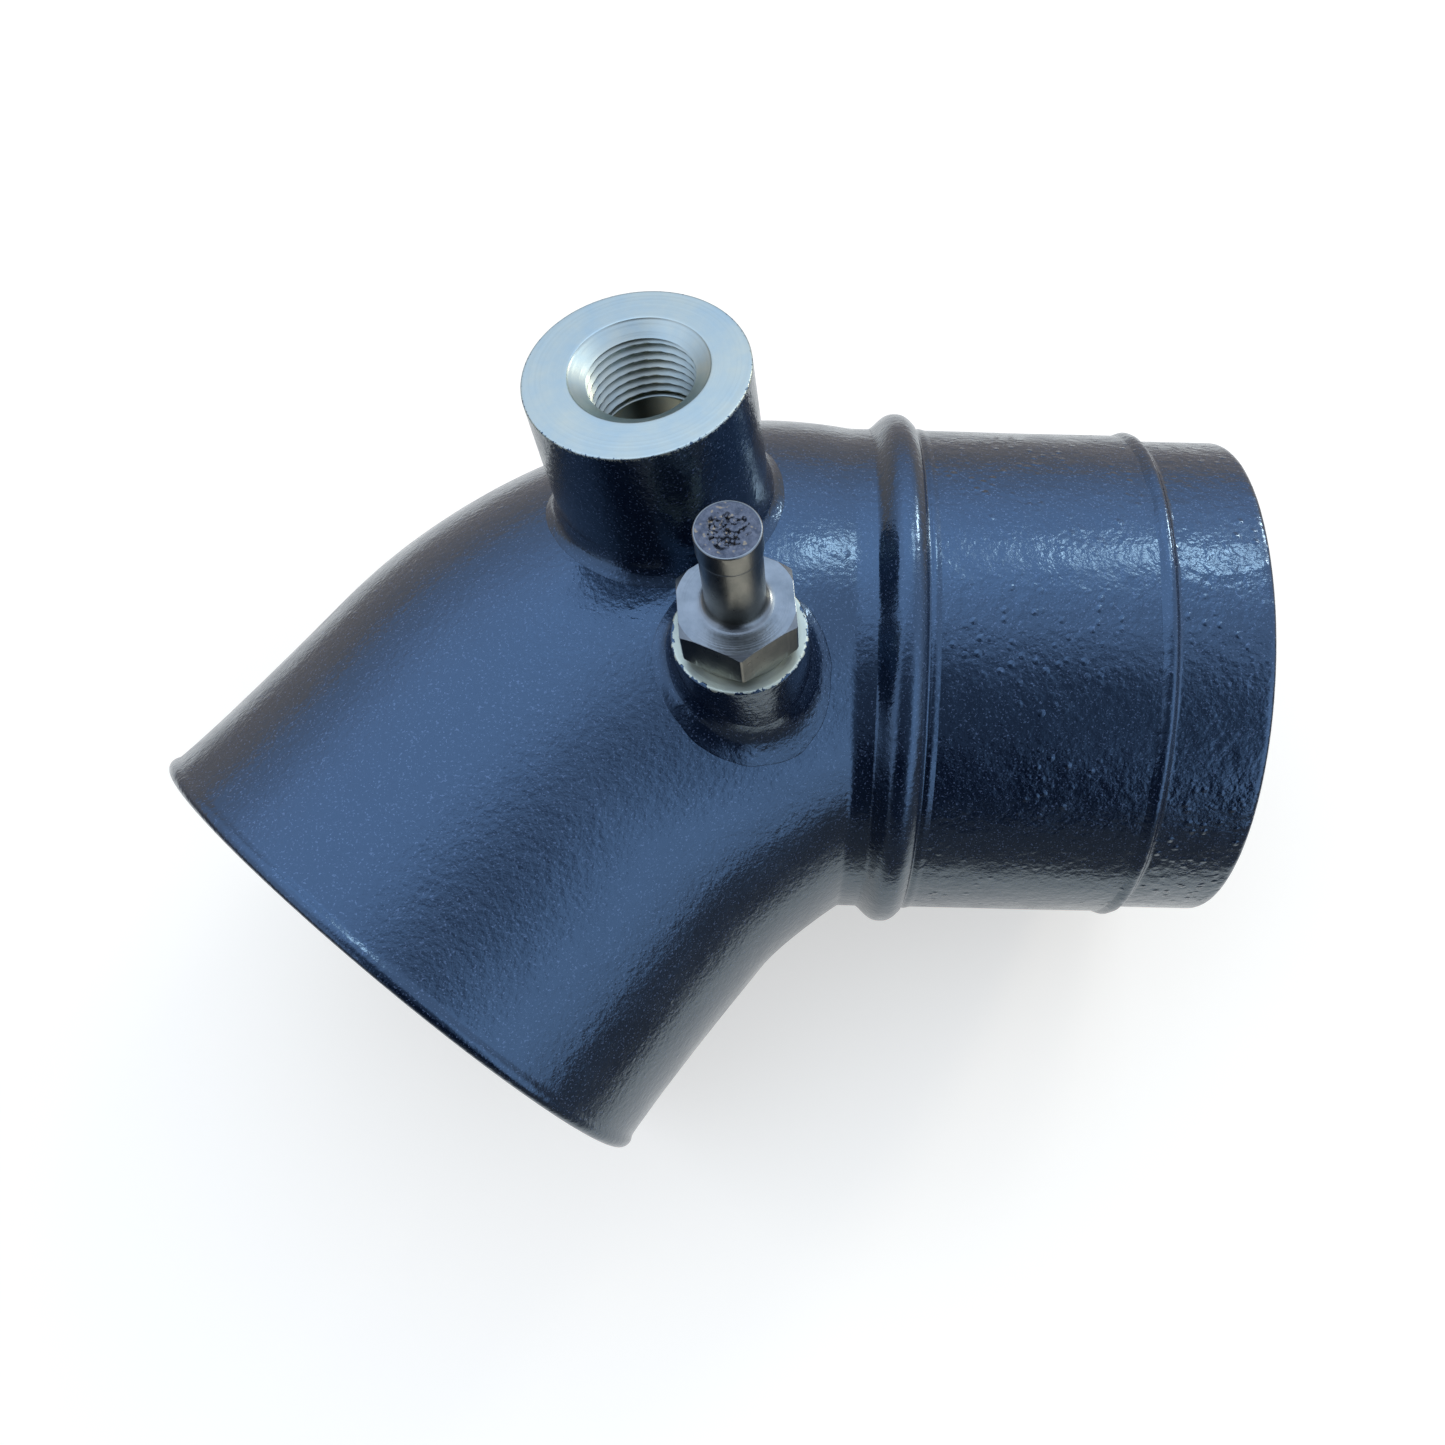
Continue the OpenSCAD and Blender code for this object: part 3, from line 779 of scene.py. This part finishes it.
# ---------------------------------------------------------------- stage, light and camera
def make_floor():
    """Glowing floor: painted light keeps it pale round the object, and painted shade fades it to a dim warm
    grey away from the object, at a low viewing angle and towards the camera's side.
    """
    size, count, z = 6.0, 12, cad_box[0][2] - 0.0005
    side = range(count + 1)
    points = [((i / count - 0.5) * size, (j / count - 0.5) * size, z) for i in side for j in side]
    corners = [i * (count + 1) + j for i in range(count) for j in range(count)]
    mesh = bpy.data.meshes.new("floor")
    mesh.from_pydata(points, [], [(c, c + count + 1, c + count + 2, c + 1) for c in corners])
    obj = bpy.data.objects.new("floor", mesh)
    bpy.context.scene.collection.objects.link(obj)
    n = Nodes("floor")
    place = n.add("ShaderNodeSeparateXYZ", {"Vector": n.coords}).outputs
    away_x = n.math("DIVIDE", n.math("ABSOLUTE", n.math("ADD", place["X"], 0.09)), 0.24)
    away_y = n.math("DIVIDE", n.math("ABSOLUTE", n.math("SUBTRACT", place["Y"], 0.034)), 0.23)
    # painted shade: away from the object the floor turns near black with only a dim glow, so the enamel
    # reflects a darker surround
    near = n.smoothstep(n.math("MAXIMUM", away_x, away_y), 1.0, 1.5, 1.0, 0.0)
    # painted shade: seen at a low angle the floor darkens the same way, which darkens its reflection along
    # the enamel's edges
    facing = n.add("ShaderNodeLayerWeight", {"Blend": 0.5}).outputs["Facing"]
    pale = n.math("MULTIPLY", near, n.smoothstep(facing, 0.37, 0.52, 1.0, 0.0))
    # painted shade: the dim far glow is darker towards the camera's side
    shaded_far_glow = n.mix(n.smoothstep(place["Y"], -0.1, 0.25), (0.11, 0.10, 0.09), (0.52, 0.44, 0.38))
    # the emission is painted light: the floor glows, so it stays pale through the object's shadows
    n.set(Base_Color=n.mix(pale, (0.02, 0.02, 0.02), (0.66, 0.52, 0.33)), Roughness=0.9,
          Emission_Color=n.mix(pale, shaded_far_glow, (0.52, 0.52, 0.52)), Emission_Strength=1.0)
    mesh.materials.append(n.mat)


def heading(az, el):
    """Unit vector towards an azimuth and elevation in degrees."""
    a, e = math.radians(az), math.radians(el)
    return (math.cos(a) * math.cos(e), math.sin(a) * math.cos(e), math.sin(e))


# the sky at the horizon, what it gains higher up, and the ground below
SKY = (0.58, 0.74, 1.12)
SKY_RISE = (0.22, 0.30, 0.54)
GROUND = (0.30, 0.26, 0.22)
# bright and dark patches: colour or depth, then azimuth, elevation, inner and outer angle
BRIGHT = (((0.36, 0.54, 0.95), (130, 58, 8, 48)), ((0.18, 0.32, 0.60), (78, 42, 8, 34)),
          ((0.24, 0.38, 0.64), (-40, 28, 10, 42)))
DARK = ((0.96, (-101, 10, 24, 38)), (0.82, (-92, 50, 14, 46)))


def make_world():
    """Clear sky with bright patches, a dark patch on the camera's side, and warm ground."""
    world = bpy.data.worlds.new("sky")
    bpy.context.scene.world = world
    world.use_nodes = True
    world.node_tree.nodes.clear()
    g = Graph(world.node_tree, "Generated")
    direction = g.vector("NORMALIZE", {0: g.coords})

    def patch(az, el, inner, outer):
        """1 within the inner angle of a heading, falling to 0 at the outer angle."""
        dot = g.vector("DOT_PRODUCT", {0: direction, 1: heading(az, el)}, "Value")
        return g.smoothstep(dot, math.cos(math.radians(outer)), math.cos(math.radians(inner)))

    def scaled(colour, fac):
        return g.vector("SCALE", {0: colour, "Scale": fac})

    height = g.add("ShaderNodeSeparateXYZ", {0: direction}).outputs["Z"]
    light = g.vector("ADD", {0: scaled(SKY_RISE, g.smoothstep(height, 0.0, 0.45)), 1: SKY})
    for colour, place in BRIGHT:
        light = g.vector("ADD", {0: light, 1: scaled(colour, patch(*place))})
    for depth, place in DARK:
        light = scaled(light, g.math("SUBTRACT", 1.0, g.math("MULTIPLY", patch(*place), depth)))
    above = g.smoothstep(height, -0.06, 0.0)
    below = scaled(GROUND, g.math("SUBTRACT", 1.0, above))
    light = g.vector("ADD", {0: scaled(light, above), 1: below})
    sky = g.add("ShaderNodeBackground", {0: light, 1: 1.0})
    g.add("ShaderNodeOutputWorld", {0: sky.outputs[0]})


def area(name, az, el, size, radiance, colour):
    """Soft square lamp that faces the object from a heading, 1.5 m away."""
    light = bpy.data.lights.new(name, "AREA")
    light.shape = "SQUARE"
    light.size = size
    light.energy = radiance * math.pi * size * size
    light.color = colour
    obj = bpy.data.objects.new(name, light)
    bpy.context.scene.collection.objects.link(obj)
    target = Vector((-0.05, 0, 0.02))
    obj.location = target + 1.5 * Vector(heading(az, el))
    obj.rotation_euler = (target - obj.location).to_track_quat("-Z", "Y").to_euler()


def make_camera():
    """Camera high on the side of the bend's inside, looking almost straight down."""
    right = Vector((0.9996407, 0.02026954, 0.01753899))
    down = Vector((0.02381203, -0.97197391, -0.23387969))
    look = Vector((0.01230681, 0.23421329, -0.97210734))
    cam = bpy.data.cameras.new("camera")
    cam.sensor_width = 36
    cam.lens = 33.237
    cam.shift_x = -0.0436
    cam.shift_y = 0.03073
    cam.clip_start, cam.clip_end = 0.01, 20
    obj = bpy.data.objects.new("camera", cam)
    bpy.context.scene.collection.objects.link(obj)
    m = Matrix((right, -down, -look)).transposed().to_4x4()
    m.translation = Vector((-0.0732177, -0.0884719, 0.2761878))
    obj.matrix_world = m
    bpy.context.scene.camera = obj


make_floor()
make_world()
area("window", 45, 20, 0.25, 22.0, (0.9, 0.95, 1.0))
area("high_window", 60, 46, 0.24, 8.0, (0.82, 0.92, 1.0))
make_camera()
bpy.context.scene.view_settings.view_transform = "Standard"
